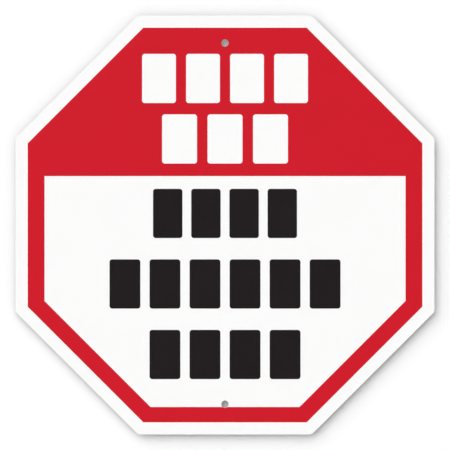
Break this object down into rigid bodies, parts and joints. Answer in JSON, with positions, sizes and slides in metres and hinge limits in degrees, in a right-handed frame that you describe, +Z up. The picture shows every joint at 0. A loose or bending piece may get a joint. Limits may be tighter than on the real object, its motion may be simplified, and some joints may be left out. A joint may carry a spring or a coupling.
{
  "type": "school zone sign",
  "caption": "Flat octagonal sign plate with a white and red face, a white panel with black marks, and a bolt hole at the top and at the bottom.",
  "frame": {"origin": "halfway between the two bolt holes, on the back face of the blank", "axes": "+Z up the sign through both holes, -Y the way the printed face looks, +Y out of the back face towards the post, +X to the right as seen from the front"},
  "size_m": [0.3048, 0.0019, 0.3048],
  "materials": {
    "aluminium_sheet": "mill finish sheet with fine rolling lines and square punched edges",
    "white_film": "smooth white sign sheeting, semi-gloss",
    "red_ink": "even opaque red print, semi-gloss",
    "black_ink": "even opaque black print, semi-gloss"
  },
  "bodies": {
    "root": {"aluminium_blank": "aluminium_sheet", "white_sheeting": "white_film", "red_print": "red_ink", "black_print": "black_ink"}
  },
  "joints": []
}
